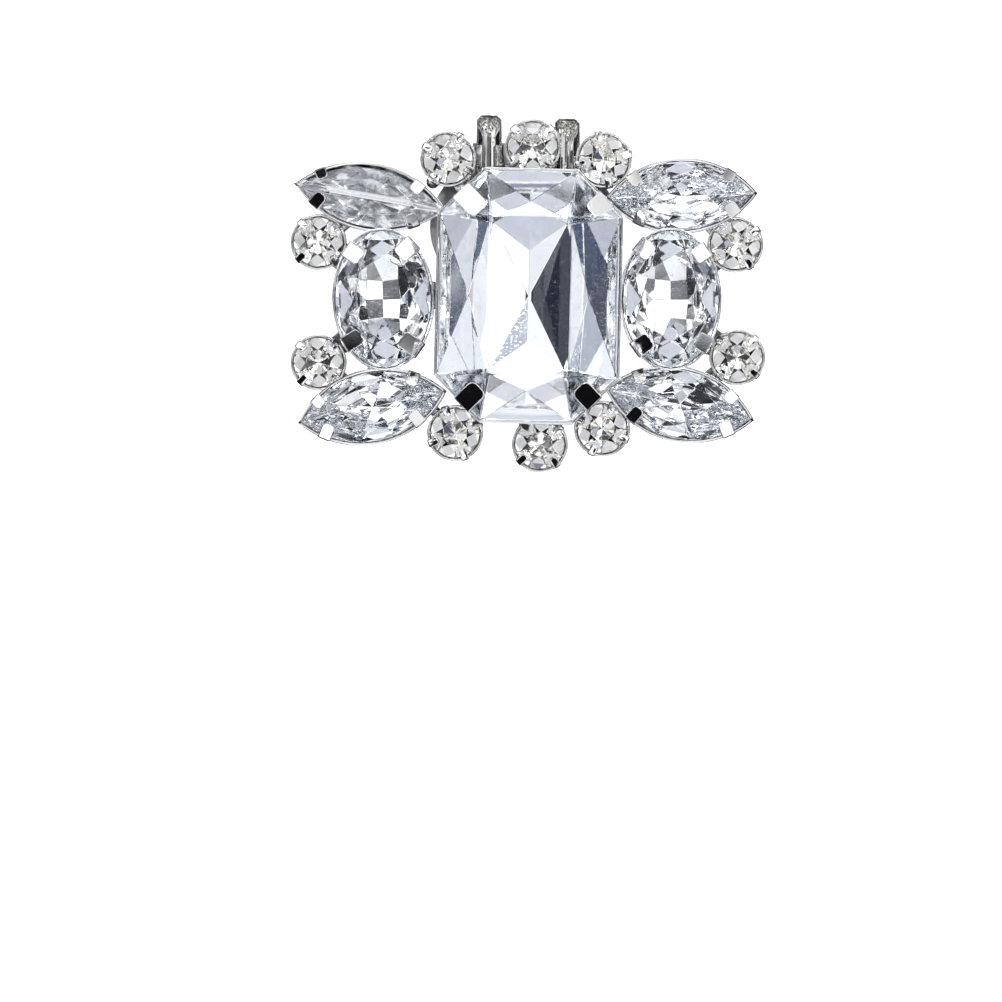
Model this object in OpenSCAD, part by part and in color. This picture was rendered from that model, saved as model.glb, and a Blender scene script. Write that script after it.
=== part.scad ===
// Rhinestone shoe clip: cut stones in soldered claw cups, on a folded metal clip.
// It lies on the clip's back leaf. The origin is on that face, below the middle of the octagon
// stone. X runs along the length of the ornament, Y towards the clip's fold, Z out of the stones.

/* [Octagon stone] */
// Width of the octagon stone
octagon_w = 18; // [17.4:0.2:18.4]
// Length of the octagon stone
octagon_l = 25; // [24.4:0.2:25.4]
// Corner cut of the octagon stone, along its sides
octagon_cut = 4.5; // [4:0.1:5]
// Crown height of the octagon stone
octagon_crown = 1.5; // [1.3:0.1:2.2]
// Pavilion depth of the octagon stone
octagon_depth = 4.2; // [3.8:0.1:4.2]

/* [Oval stones] */
// Width of an oval stone
oval_w = 9.6; // [9.2:0.1:9.8]
// Length of an oval stone
oval_l = 13.7; // [13.4:0.1:13.8]
// Crown height of an oval stone
oval_crown = 1.6; // [1.2:0.1:1.8]
// Pavilion depth of an oval stone
oval_depth = 2.6; // [2.5:0.1:2.8]

/* [Navette stones] */
// Length of a navette stone, tip to tip
navette_l = 14.4; // [14:0.1:14.6]
// Width of a navette stone
navette_w = 6.9; // [6.6:0.1:7]
// Width of the cup of the upper left navette stone, whose stone has slipped
slipped_cup_w = 6.2; // [6.1:0.05:6.3]
// Width of the stone that has slipped
slipped_w = 5.9; // [5.8:0.05:5.9]
// Crown height of a navette stone
navette_crown = 1.2; // [1:0.1:1.4]
// Pavilion depth of a navette stone
navette_depth = 2.7; // [2.4:0.1:2.8]

/* [Round and baguette stones] */
// Diameter of a round stone
round_d = 5; // [4.8:0.05:5.1]
// Crown height of a round stone
round_crown = 0.8; // [0.6:0.1:0.9]
// Pavilion depth of a round stone
round_depth = 2; // [1.8:0.1:2]
// Length of a baguette stone
baguette_l = 7; // [6.5:0.1:7.1]
// Width of a baguette stone
baguette_w = 2.05; // [1.9:0.05:2.1]

/* [Settings] */
// Thickness of the cups' walls and bottoms
wall = 0.32; // [0.25:0.01:0.34]
// Thickness of the baguette cups' walls
thin_wall = 0.2; // [0.15:0.01:0.22]
// Clearance between a stone and its cup
stone_gap = 0.06; // [0.05:0.01:0.08]
// Thickness of the claws
claw_t = 0.3; // [0.25:0.01:0.35]
// Width of the strips that join the cups from behind
strip_w = 1.8; // [1.4:0.1:2.2]

/* [Clip] */
// Thickness of the clip's metal
clip_t = 0.8; // [0.6:0.05:0.9]
// Clear gap of the clip's jaw
jaw_gap = 2.4; // [2:0.1:2.8]
// Width of the folded strip
clip_w = 10.8; // [9:0.2:11]
// Length of the pad under the ornament
pad_l = 19; // [18:0.5:19]
// Width of the pad under the ornament
pad_w = 13.2; // [12:0.2:13.2]
// Reach of the back leaf below the middle of the octagon stone
tongue_reach = 9; // [8:0.5:10]

/* [Hidden] */
// Clearance between the clip and the cups that stand on it
seat_gap = 0.05;
// Height of the girdle's edge band, for large and small stones
girdle_big = 0.6;
girdle_small = 0.35;
// Height of the clip, and of the faces of the cups' bottoms
clip_h = 2 * clip_t + jaw_gap;
base_z = clip_h + seat_gap;
floor_z = base_z + wall;
// Clearance between a stone's girdle and the rim of its cup
rim_gap = 0.04;
// Length of the claws' legs below the girdle, their extra clearance inside, and how far they
// stand out past the cup's wall
leg_l = 0.73;
claw_off = 0.02;
claw_out = 0.05;
// Slope of the octagon's claws for each millimetre of its crown
octagon_claw_rise = 0.29;
// How far the strips lie inside the thickness of the cups' bottoms
strip_inset = 0.04;
// How far a cut runs past the rim that it opens, and how far joined shapes run into each other
cut_over = 0.2;
overlap = 1;
// Number of corners of a bead of solder, and of the clip's round ends
bead_n = 10;
round_n = 64;
// Middle line of the clip, its pad's middle and its fold
clip_x = -0.2;
pad_x = -0.4;
pad_y = 7;
fold_y = 13.5;
// Corner radius of the back leaf's free end
tongue_r = 3;
// Colours
STONE_COLOUR = [0.86, 0.9, 0.95];
PLATE_COLOUR = "silver";
CLIP_COLOUR = "darkgray";

// The kinds of cut
OCTAGON = 0;
OVAL = 1;
NAVETTE = 2;
ROUND = 3;
BAGUETTE = 4;

// A row for each kind of cut. Columns: half width, half length, corner cut, share of the
// table, crown, girdle, depth, height of the girdle's underside, share of the cup's bottom,
// slope of the claws over the crown, corners of the outline, and for all but the step cuts the
// share of the outline where the lower halves meet
KINDS = [
    [octagon_w / 2, octagon_l / 2, octagon_cut, 0.457, octagon_crown, girdle_big,
        octagon_depth, base_z + 5.3, 0.55, octagon_claw_rise * octagon_crown, 8],
    [oval_w / 2, oval_l / 2, 0, 0.62, oval_crown, girdle_big,
        oval_depth, base_z + 4.15, 0.5, 0.9, 32, 0.89],
    [navette_l / 2, navette_w / 2, 0, 0.62, navette_crown, girdle_small,
        navette_depth, base_z + 3.4, 0.45, 1, 24, 0.92],
    [round_d / 2, round_d / 2, 0, 0.5, round_crown, girdle_small,
        round_depth, base_z + 2.55, 0.5, 0.8, 16, 0.95],
    [baguette_w / 2, baguette_l / 2, 0.3, 0.6, 0.5, 0.2,
        0.9, base_z + 1.3, 1, 0.8, 8],
];

// A row for each stone. Columns: name, kind, place along X, place along Y, turn
STONES = [
    ["octagon_stone", OCTAGON, 0, 0, -1.4],
    ["oval_stone_left", OVAL, -14.56, -0.31, 2],
    ["oval_stone_right", OVAL, 14.24, -0.31, 0],
    ["navette_stone_upper_left", NAVETTE, -15.86, 9.97, -10],
    ["navette_stone_upper_right", NAVETTE, 15.34, 10.06, 2],
    ["navette_stone_lower_left", NAVETTE, -15.66, -11.08, 12],
    ["navette_stone_lower_right", NAVETTE, 15.14, -10.83, -12],
    ["round_stone_top_left", ROUND, -8.06, 13.79, 62],
    ["round_stone_top_middle", ROUND, 0.42, 14.99, 45],
    ["round_stone_top_right", ROUND, 7.54, 13.69, 12],
    ["round_stone_upper_left", ROUND, -21.06, 5.45, 41],
    ["round_stone_upper_right", ROUND, 20.75, 5.18, 34],
    ["round_stone_lower_left", ROUND, -21.06, -6.61, 48],
    ["round_stone_lower_right", ROUND, 20.94, -6.11, 47],
    ["round_stone_bottom_left", ROUND, -7.36, -13.71, 22],
    ["round_stone_bottom_middle", ROUND, 1.14, -14.85, 40],
    ["round_stone_bottom_right", ROUND, 7.38, -13.27, 66],
    ["baguette_stone_left", BAGUETTE, -3.95, 14.5, 0],
    ["baguette_stone_right", BAGUETTE, 3.85, 14.15, -1],
];

// The navette stone that has slipped: its tilt about its length, its slip, its lift and that of
// the claws over it
SLIPPED = 3;
slipped_tilt = -3;
slipped_slip = -0.12;
slipped_lift = 0.02;
slipped_claw_lift = 0.25;

// A row for each claw of the large cups. Columns: stone, place on the outline, side, width,
// reach. The place is a corner number and a slide along it on the octagon, an angle on an oval,
// and a distance from the middle and a side on a navette or baguette.
CLAWS = [
    [0, 0, -0.79, 2, 1.8],
    [0, 1, 0.1, 2.2, 2.6],
    [0, 2, 0.76, 2.1, 2.2],
    [0, 3, -0.2, 2.1, 2],
    [1, 51, 1, 1.8, 1.7],
    [1, 133, 1, 1.7, 1.5],
    [1, 219, 1, 1.7, 1.6],
    [1, 312, 1, 1.8, 1.9],
    [2, 45, 1, 1.7, 1.3],
    [2, 129, 1, 1.8, 1.4],
    [2, 226, 1, 1.8, 1.5],
    [2, 318, 1, 1.8, 1.2],
    [3, 4.6, 1, 1.3, 0.9],
    [3, -5.3, 1, 1.2, 0.7],
    [3, -5.3, -1, 1.3, 1.1],
    [3, 4.7, -1, 1.3, 1],
    [4, 4.9, 1, 1.2, 0.9],
    [4, -4.8, 1, 1.3, 1],
    [4, -4.3, -1, 1.3, 1.3],
    [4, 5.2, -1, 1.3, 1.1],
    [5, 4.7, 1, 1.3, 1],
    [5, -5.3, 1, 1.2, 0.8],
    [5, -5.2, -1, 1.3, 1.2],
    [5, 4.3, -1, 1.3, 1.2],
    [6, 5, 1, 1.3, 0.9],
    [6, -4.7, 1, 1.3, 0.9],
    [6, -4.4, -1, 1.3, 1.2],
    [6, 5.3, -1, 1.3, 1.2],
    [17, -0.4, 1, 2.2, 0.3],
    [17, -0.4, -1, 2.2, 0.3],
    [18, -0.8, 1, 1.5, 0.3],
];
round_claw_w = 0.8;
round_claw_reach = 0.65;

// Pairs of stones whose cups a strip joins from behind
STRIPS = [
    [0, 1], [0, 2], [0, 7], [0, 8], [0, 9], [0, 14], [0, 15], [0, 16], [0, 17], [0, 18],
    [1, 3], [1, 5], [2, 4], [2, 6], [1, 10], [1, 12], [2, 11], [2, 13],
    [3, 10], [5, 12], [4, 11], [6, 13],
];

// Beads of solder between the cups. Columns: place along X, place along Y, radius, top
BEADS = [
    [-9.55, 1, 0.55, 6.6],
    [-9.55, -0.7, 0.6, 6.4],
    [9.15, 0.6, 0.55, 6.6],
    [9.15, -1.4, 0.6, 6.4],
    [-14.6, -7.25, 0.7, 5.9],
    [-15.7, 6.5, 0.6, 5.9],
    [13.6, 6.7, 0.6, 5.9],
    [14.2, -7.1, 0.6, 5.9],
    [-18.3, 4.8, 0.6, 5.8],
    [-18.4, -5.1, 0.6, 5.8],
    [17.9, 4.4, 0.6, 5.8],
    [18.1, -5.3, 0.6, 5.8],
    [-9.6, 11.5, 0.7, 5.9],
    [9.6, 11.6, 0.6, 5.9],
    [-9.3, -11.6, 0.6, 5.9],
    [9.6, -11.2, 0.6, 5.9],
    [-2, 13, 0.6, 5.8],
];

// Outlines. Each takes half sizes and how far the outline is grown, and runs anticlockwise.
function octagon_outline(hx, hy, cut, grow) =
    let (x = hx + grow, y = hy + grow, c = cut + grow * (2 - sqrt(2)))
    [[x, y - c], [x - c, y], [c - x, y], [-x, y - c],
        [-x, c - y], [c - x, -y], [x - c, -y], [x, c - y]];

function oval_outline(hx, hy, grow, n) =
    [for (i = [0:n - 1]) [(hx + grow) * cos(360 * i / n), (hy + grow) * sin(360 * i / n)]];

// Radius of the arcs of a navette
function navette_radius(hx, hy) = (hx * hx + hy * hy) / (2 * hy);

function navette_outline(hx, hy, grow, n) =
    let (arc = navette_radius(hx, hy), drop = arc - hy, r = arc + grow)
    let (sweep = acos(drop / r), half = n / 2)
    concat(
        [for (i = [0:half - 1]) let (a = sweep - 2 * sweep * i / half)
            [r * sin(a), r * cos(a) - drop]],
        [for (i = [0:half - 1]) let (a = -sweep + 2 * sweep * i / half)
            [r * sin(a), drop - r * cos(a)]]
    );

// The outline of a kind of stone at a share of its size, grown outward
function outline(kind, hy, share, grow, n) =
    let (row = KINDS[kind])
    kind == OCTAGON || kind == BAGUETTE
    ? octagon_outline(row[0] * share, hy * share, row[2] * share, grow)
    : kind == NAVETTE
    ? navette_outline(row[0] * share, hy * share, grow, n)
    : oval_outline(row[0] * share, hy * share, grow, n);

// Half width of a cup across its stone's length, and the thickness of its wall
function half_y(i) = i == SLIPPED ? slipped_cup_w / 2 : KINDS[STONES[i][1]][1];
function wall_t(kind) = kind == BAGUETTE ? thin_wall : wall;

function lifted(points, z) = [for (p = points) [p[0], p[1], z]];

// Corners of a ring, from the first that is asked for on, a step apart
function every(ring, step, first) =
    [for (i = [first:step:len(ring) - 1]) ring[i]];

// The solid whose corners are the given points
module cut_from(points) {
    hull()
        polyhedron(points = points, faces = [for (i = [2:len(points) - 1]) [0, i - 1, i]]);
}

// Octagon stone: a rectangular table, four bevels and four corners above, and a pavilion of
// kites and triangles below. Its heights count from the underside of the girdle.
// Columns of a pavilion corner: share of the half width, share of the half length, share of
// the depth
PAVILION = [
    [0, 0, 1],
    [0, 0.3696, 0.8905],
    [0.4111, 0.5864, 0.7143],
    [0, 0.7256, 0.6012],
    [0.6278, 0, 0.5637],
];
table_y_share = 0.632;

module octagon_cut_stone() {
    row = KINDS[OCTAGON];
    edge = outline(OCTAGON, row[1], 1, 0, 0);
    tabletop = [for (sx = [-1, 1], sy = [-1, 1])
        [sx * row[3] * row[0], sy * table_y_share * row[1], row[5] + row[4]]];
    below = [for (sx = [-1, 1], sy = [-1, 1], p = PAVILION)
        [sx * p[0] * row[0], sy * p[1] * row[1], -p[2] * row[6]]];
    cut_from(concat(lifted(edge, 0), lifted(edge, row[5]), tabletop, below));
}

// Baguette stone: a step cut with a keel
module baguette_cut_stone() {
    row = KINDS[BAGUETTE];
    edge = outline(BAGUETTE, row[1], 1, 0, 0);
    tabletop = octagon_outline(row[0] * row[3], row[1] - row[0] * (1 - row[3]), row[2], 0);
    keel = [for (s = [-1, 1]) [0, s * (row[1] - 2 * row[0]), -row[6]]];
    cut_from(concat(lifted(edge, 0), lifted(edge, row[5]), lifted(tabletop, row[5] + row[4]), keel));
}

// Height share of the corner where the facets of a brilliant meet between two main facets
function meet_height(share, inner, step) = 1 - (share * cos(step / 2) - inner) / (1 - inner);

// Brilliant cut on any outline: eight main facets above and below, with halves at the girdle. An
// oval has four nearly flat facets in the middle of its underside instead of a point.
// Columns of a corner of that middle: share of the half width, share of the half length, share of
// the depth
OVAL_MIDDLE = [
    [0, 0, 1],
    [0, 0.267, 0.8832],
    [0.327, 0.289, 0.8374],
    [0.37, 0, 0.959],
    [0, 0.57, 0.55],
];
oval_meet_depth = 0.326;
mains = 8;
meet_share = 0.8;

function lower_corners(kind, hy) =
    let (row = KINDS[kind])
    let (ring = every(outline(kind, hy, row[11], 0, 2 * mains), 2, 1))
    kind == OVAL
    ? concat(
        lifted(ring, -row[6] * oval_meet_depth),
        [for (sx = [-1, 1], sy = [-1, 1], p = OVAL_MIDDLE)
            [sx * p[0] * row[0], sy * p[1] * hy, -p[2] * row[6]]])
    : concat(
        lifted(ring, -row[6] * meet_height(row[11], 0, 360 / mains)),
        [[0, 0, -row[6]]]);

module brilliant_cut_stone(kind, hy) {
    row = KINDS[kind];
    step = 360 / mains;
    edge = outline(kind, hy, 1, 0, 2 * mains);
    fine_edge = outline(kind, hy, 1, 0, row[10]);
    inner = row[3];
    upper = every(outline(kind, hy, meet_share, 0, 2 * mains), 2, 1);
    tabletop = every(outline(kind, hy, inner, 0, 2 * mains), 2, 0);
    cut_from(concat(
        lifted(fine_edge, 0),
        lifted(fine_edge, row[5]),
        lifted(edge, 0),
        lifted(edge, row[5]),
        lifted(upper, row[5] + row[4] * meet_height(meet_share, inner, step)),
        lifted(tabletop, row[5] + row[4]),
        lower_corners(kind, hy)
    ));
}

// Puts a piece at the place of a stone, at a height
module at_stone(i, z) {
    translate([STONES[i][2], STONES[i][3], z])
        rotate([0, 0, STONES[i][4]])
            children();
}

module stone(i) {
    kind = STONES[i][1];
    row = KINDS[kind];
    color(STONE_COLOUR)
        at_stone(i, row[7] + (i == SLIPPED ? slipped_lift : 0))
            if (kind == OCTAGON) {
                octagon_cut_stone();
            } else if (kind == BAGUETTE) {
                baguette_cut_stone();
            } else if (i == SLIPPED) {
                translate([0, slipped_slip, 0])
                    rotate([slipped_tilt, 0, 0])
                        brilliant_cut_stone(kind, slipped_w / 2);
            } else {
                brilliant_cut_stone(kind, row[1]);
            }
}

// Cup under a stone: a tapered shell whose open rim ends just below the girdle
module cup(i) {
    kind = STONES[i][1];
    row = KINDS[kind];
    rim = row[7] - rim_gap;
    low = row[8];
    high = 1 + (1 - low) * cut_over / (rim - floor_z);
    n = row[10];
    y = half_y(i);
    outer = stone_gap + wall_t(kind);
    at_stone(i, 0)
        difference() {
            cut_from(concat(
                lifted(outline(kind, y, low, outer, n), base_z),
                lifted(outline(kind, y, 1, outer, n), rim)
            ));
            cut_from(concat(
                lifted(outline(kind, y, low, stone_gap, n), floor_z),
                lifted(outline(kind, y, high, stone_gap, n), rim + cut_over)
            ));
        }
}

// Place on an outline and the direction that points out of it there. Columns: X, Y, angle
function claw_spot(kind, hy, place, side) =
    let (row = KINDS[kind])
    kind == OCTAGON
    ? let (a = 45 + 90 * place, sx = sign(cos(a)), sy = sign(sin(a)), c = row[2] / 2)
        [sx * (row[0] - c) - side * sin(a), sy * (row[1] - c) + side * cos(a), a]
    : kind == NAVETTE
    ? let (r = navette_radius(row[0], hy), y = sqrt(r * r - place * place))
        [place, side * (y - r + hy), atan2(side * y, place)]
    : kind == BAGUETTE
    ? [side * row[0], place, side > 0 ? 0 : 180]
    : [row[0] * cos(place), row[1] * sin(place), atan2(sin(place) / row[1], cos(place) / row[0])];

// Claw: a leg outside the girdle, folded over the crown
module claw(i, place, side, width, reach) {
    kind = STONES[i][1];
    row = KINDS[kind];
    spot = claw_spot(kind, half_y(i), place, side);
    inner = stone_gap + claw_off;
    outer = stone_gap + wall + claw_out;
    top = row[5] + inner + (i == SLIPPED ? slipped_claw_lift : 0);
    lift = row[9] * (reach + inner);
    at_stone(i, row[7])
        translate([spot[0], spot[1], 0])
            rotate([90, 0, spot[2]])
                linear_extrude(height = width, center = true)
                    polygon([
                        [inner, -leg_l],
                        [outer, -leg_l],
                        [outer, top + claw_t / 2],
                        [-reach, top + lift + claw_t],
                        [-reach, top + lift],
                        [inner, top],
                    ]);
}

// Strip between the bottoms of two cups, let into each of them
module strip(a, b) {
    from = [STONES[a][2], STONES[a][3]];
    to = [STONES[b][2], STONES[b][3]];
    way = to - from;
    far = norm(way);
    translate([from[0], from[1], base_z + strip_inset])
        rotate([0, 0, atan2(way[1], way[0])])
            translate([0, -strip_w / 2, 0])
                cube([far, strip_w, wall - 2 * strip_inset]);
}

module bead(row) {
    translate([row[0], row[1], base_z])
        cylinder(h = row[3] - base_z, r = row[2], $fn = bead_n);
}

// All the soldered metal: cups, claws, strips and beads
module setting_frame() {
    color(PLATE_COLOUR)
        union() {
            for (i = [0:len(STONES) - 1])
                cup(i);
            for (c = CLAWS)
                claw(c[0], c[1], c[2], c[3], c[4]);
            for (i = [0:len(STONES) - 1])
                if (STONES[i][1] == ROUND)
                    for (a = [0:90:270])
                        claw(i, a, 1, round_claw_w, round_claw_reach);
            for (s = STRIPS)
                strip(s[0], s[1]);
            for (b = BEADS)
                bead(b);
        }
}

// Side view of the folded strip: the front leaf and the fold, with the start of the back leaf
module fold_profile() {
    difference() {
        union() {
            translate([pad_y, 0])
                square([fold_y - pad_y, clip_h]);
            translate([fold_y, clip_h / 2])
                circle(r = clip_h / 2, $fn = round_n);
        }
        translate([0, clip_t])
            square([fold_y, jaw_gap]);
        translate([fold_y, clip_h / 2])
            circle(r = jaw_gap / 2, $fn = round_n);
    }
}

// Clip: a pad under the ornament, folded back into a tongue that holds the shoe's edge
module shoe_clip() {
    end_y = tongue_r - tongue_reach;
    color(CLIP_COLOUR)
        union() {
            translate([clip_x - clip_w / 2, 0, 0])
                rotate([90, 0, 90])
                    linear_extrude(height = clip_w)
                        fold_profile();
            translate([clip_x, 0, 0])
                linear_extrude(height = clip_t)
                    union() {
                        translate([-clip_w / 2, end_y])
                            square([clip_w, pad_y + overlap - end_y]);
                        translate([tongue_r - clip_w / 2, -tongue_reach])
                            square([clip_w - 2 * tongue_r, tongue_r + overlap]);
                        for (s = [-1, 1])
                            translate([s * (clip_w / 2 - tongue_r), end_y])
                                circle(r = tongue_r, $fn = round_n);
                    }
            translate([pad_x, pad_y, clip_t + jaw_gap])
                linear_extrude(height = clip_t)
                    union() {
                        square([pad_l - pad_w, pad_w], center = true);
                        for (s = [-1, 1])
                            translate([s * (pad_l - pad_w) / 2, 0])
                                circle(r = pad_w / 2, $fn = round_n);
                    }
        }
}

for (i = [0:len(STONES) - 1])
    stone(i);
setting_frame();
shoe_clip();
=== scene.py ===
"""Dresses a rhinestone shoe clip: cut stones on mirror foil, claw cups, solder and a folded clip."""

import logging
import math
from collections.abc import Callable
from dataclasses import dataclass, replace
from enum import Enum

import bmesh
import bpy
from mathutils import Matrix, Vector


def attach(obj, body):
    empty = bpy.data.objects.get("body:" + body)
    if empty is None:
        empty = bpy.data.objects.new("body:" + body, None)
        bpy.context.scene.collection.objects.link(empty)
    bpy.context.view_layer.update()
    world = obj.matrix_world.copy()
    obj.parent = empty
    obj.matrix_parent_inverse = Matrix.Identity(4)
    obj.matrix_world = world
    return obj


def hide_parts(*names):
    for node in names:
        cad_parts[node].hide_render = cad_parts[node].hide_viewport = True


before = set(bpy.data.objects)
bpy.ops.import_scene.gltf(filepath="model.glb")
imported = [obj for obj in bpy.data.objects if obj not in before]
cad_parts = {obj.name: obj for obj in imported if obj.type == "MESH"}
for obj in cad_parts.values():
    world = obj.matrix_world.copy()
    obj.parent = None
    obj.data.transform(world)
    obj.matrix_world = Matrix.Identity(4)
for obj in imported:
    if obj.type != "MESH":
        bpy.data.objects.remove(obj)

LOG = logging.getLogger("shoe_clip")
MM = 0.001
BODY = "root"
PLATE_SLOT = "silver_plate"
FOIL_SLOT = "mirror_foil"

Piece = bpy.types.Object
Triple = tuple[float, float, float]
Colour = Triple

WHITE: Colour = (1.0, 1.0, 1.0)
DARK: Colour = (0.008, 0.008, 0.01)
DARKEST: Colour = (0.004, 0.004, 0.005)


# Shader maths


class Value:
    """A number or colour on its way between two nodes, with the arithmetic of numbers."""

    def __init__(self, shader: "Shader", socket: bpy.types.NodeSocket) -> None:
        """Keeps the output socket and the tree that it is in."""
        self.shader = shader
        self.socket = socket

    def _math(self, operation: str, *terms: "Value | float") -> "Value":
        """Adds one Math node and gives its result."""
        return self.shader.node("ShaderNodeMath", {"operation": operation}, dict(enumerate(terms)))

    def __add__(self, other: "Value | float") -> "Value":
        """Sum."""
        return self._math("ADD", self, other)

    __radd__ = __add__

    def __mul__(self, other: "Value | float") -> "Value":
        """Product."""
        return self._math("MULTIPLY", self, other)

    def __rsub__(self, other: "Value | float") -> "Value":
        """What is left of a number when this value is taken off it."""
        return self._math("SUBTRACT", other, self)

    def step(self, low: float, high: float) -> "Value":
        """A soft step from 0 at low to 1 at high.

        Args:
            low: where the step starts.
            high: where it ends.

        Returns:
            The step, between 0 and 1.
        """
        return self.shader.node(
            "ShaderNodeMapRange",
            {"interpolation_type": "SMOOTHSTEP"},
            {"Value": self, "From Min": low, "From Max": high},
        )


class Shader:
    """A node tree that is filled one node at a time."""

    def __init__(self, tree: bpy.types.NodeTree) -> None:
        """Empties the tree."""
        self.tree = tree
        tree.nodes.clear()

    def node(
        self,
        kind: str,
        settings: dict | None = None,
        inputs: dict | None = None,
        output: str | int = 0,
    ) -> Value:
        """Adds a node.

        Args:
            kind: the node's type.
            settings: its settings, set before its sockets; "stops" are a ramp's stops.
            inputs: what goes into its sockets, by name or number: a Value, a number or a colour.
            output: the output that is wanted.

        Returns:
            That output.
        """
        made = self.tree.nodes.new(kind)
        for key, value in (settings or {}).items():
            if key == "stops":
                ramp = made.color_ramp
                while len(ramp.elements) < len(value):
                    ramp.elements.new(0.5)
                for element, (place, colour) in zip(ramp.elements, value):
                    element.position = place
                    element.color = colour
            else:
                setattr(made, key, value)
        for key, value in (inputs or {}).items():
            socket = made.inputs[key]
            if isinstance(value, Value):
                self.tree.links.new(value.socket, socket)
            elif isinstance(value, tuple) and len(value) == 3 and socket.type == "RGBA":
                socket.default_value = (*value, 1.0)
            else:
                socket.default_value = value
        return Value(self, made.outputs[output] if made.outputs else None)

    def place(self) -> Value:
        """The point's place on the piece, in metres."""
        return self.node("ShaderNodeTexCoord", output="Object")

    def noise(self, size_mm: float, detail: float = 2.0, stretch: Triple = (1.0, 1.0, 1.0)) -> Value:
        """Cloudy noise.

        Args:
            size_mm: the size of its spots, in millimetres.
            detail: how many finer layers it has.
            stretch: how much finer it is along each axis.

        Returns:
            The noise, about 0.5.
        """
        way = self.node("ShaderNodeMapping", inputs={"Vector": self.place(), "Scale": stretch})
        return self.node(
            "ShaderNodeTexNoise",
            inputs={"Vector": way, "Scale": 1.0 / (size_mm * MM), "Detail": detail},
        )

    def mix(self, share: Value, low: "Value | Colour", high: "Value | Colour") -> Value:
        """Mixes two colours.

        Args:
            share: the share of the second colour.
            low: the first colour.
            high: the second colour.

        Returns:
            The mixed colour.
        """
        made = self.tree.nodes.new("ShaderNodeMix")
        made.data_type = "RGBA"
        self.tree.links.new(share.socket, made.inputs[0])
        for socket, colour in ((made.inputs[6], low), (made.inputs[7], high)):
            if isinstance(colour, Value):
                self.tree.links.new(colour.socket, socket)
            else:
                socket.default_value = (*colour, 1.0)
        return Value(self, made.outputs[2])

    def bump(self, height: Value, depth_mm: float = 1.0) -> Value:
        """A bump from a height.

        Args:
            height: the height, as a share of the depth.
            depth_mm: how deep the bump is, in millimetres.

        Returns:
            The bumped normal.
        """
        return self.node(
            "ShaderNodeBump", inputs={"Height": height, "Distance": depth_mm * MM, "Strength": 1.0}
        )

    def finish(self, **sockets: "Value | float | Colour") -> None:
        """Ends a material in one Principled shader.

        Args:
            sockets: the shader's sockets, with _ for a space.
        """
        surface = self.node(
            "ShaderNodeBsdfPrincipled", inputs={key.replace("_", " "): v for key, v in sockets.items()}
        )
        self.node("ShaderNodeOutputMaterial", inputs={"Surface": surface})


def new_shader(name: str) -> tuple[bpy.types.Material, Shader]:
    """Starts a material.

    Args:
        name: the material's name.

    Returns:
        The material and its empty tree.
    """
    material = bpy.data.materials.new(name)
    material.use_nodes = True
    return material, Shader(material.node_tree)


# Finishes


@dataclass(frozen=True)
class ClearStone:
    """Clear polished stone: faint waves from its mould, fine scratches and a few dull specks."""

    name: str
    tint: Colour
    worn_tint: Colour
    ior: float
    wave_mm: float
    wave_depth_mm: float
    scratch_depth_mm: float
    scratch_rough: float = 0.06
    speck_rough: float = 0.12

    def material(self) -> bpy.types.Material:
        """Makes the stone's material.

        Returns:
            The material.
        """
        material, s = new_shader(self.name)
        wave = s.noise(self.wave_mm, detail=1.0)
        scratch = s.noise(size_mm=0.5, detail=3.0, stretch=(1.0, 14.0, 1.0)).step(low=0.66, high=0.72)
        specks = s.noise(size_mm=0.35).step(low=0.68, high=0.76)
        s.finish(
            Base_Color=s.mix(specks, self.tint, self.worn_tint),
            Roughness=specks * self.speck_rough + scratch * self.scratch_rough,
            IOR=self.ior,
            Transmission_Weight=1.0,
            Normal=s.bump(wave * self.wave_depth_mm + scratch * self.scratch_depth_mm),
        )
        return material


@dataclass(frozen=True)
class MirrorFoil:
    """Mirror coat on the back of a stone, a little cloudy, with ripples that bend what it shows."""

    name: str
    bright: Colour
    cloudy: Colour
    ripple_mm: float
    ripple_depth_mm: float
    grain_depth_mm: float
    cloud_share: float = 0.7
    grain_share: float = 0.3
    cloud_rough: float = 0.04

    def material(self) -> bpy.types.Material:
        """Makes the foil's material.

        Returns:
            The material.
        """
        material, s = new_shader(self.name)
        cloud = s.noise(size_mm=0.9, detail=3.0).step(low=0.5, high=0.8)
        grain = s.noise(size_mm=0.12)
        ripple = s.noise(self.ripple_mm, detail=1.0)
        s.finish(
            Base_Color=s.mix(
                cloud * self.cloud_share + grain * self.grain_share, self.bright, self.cloudy
            ),
            Metallic=1.0,
            Roughness=cloud * self.cloud_rough,
            Normal=s.bump(ripple * self.ripple_depth_mm + grain * self.grain_depth_mm),
        )
        return material


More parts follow.
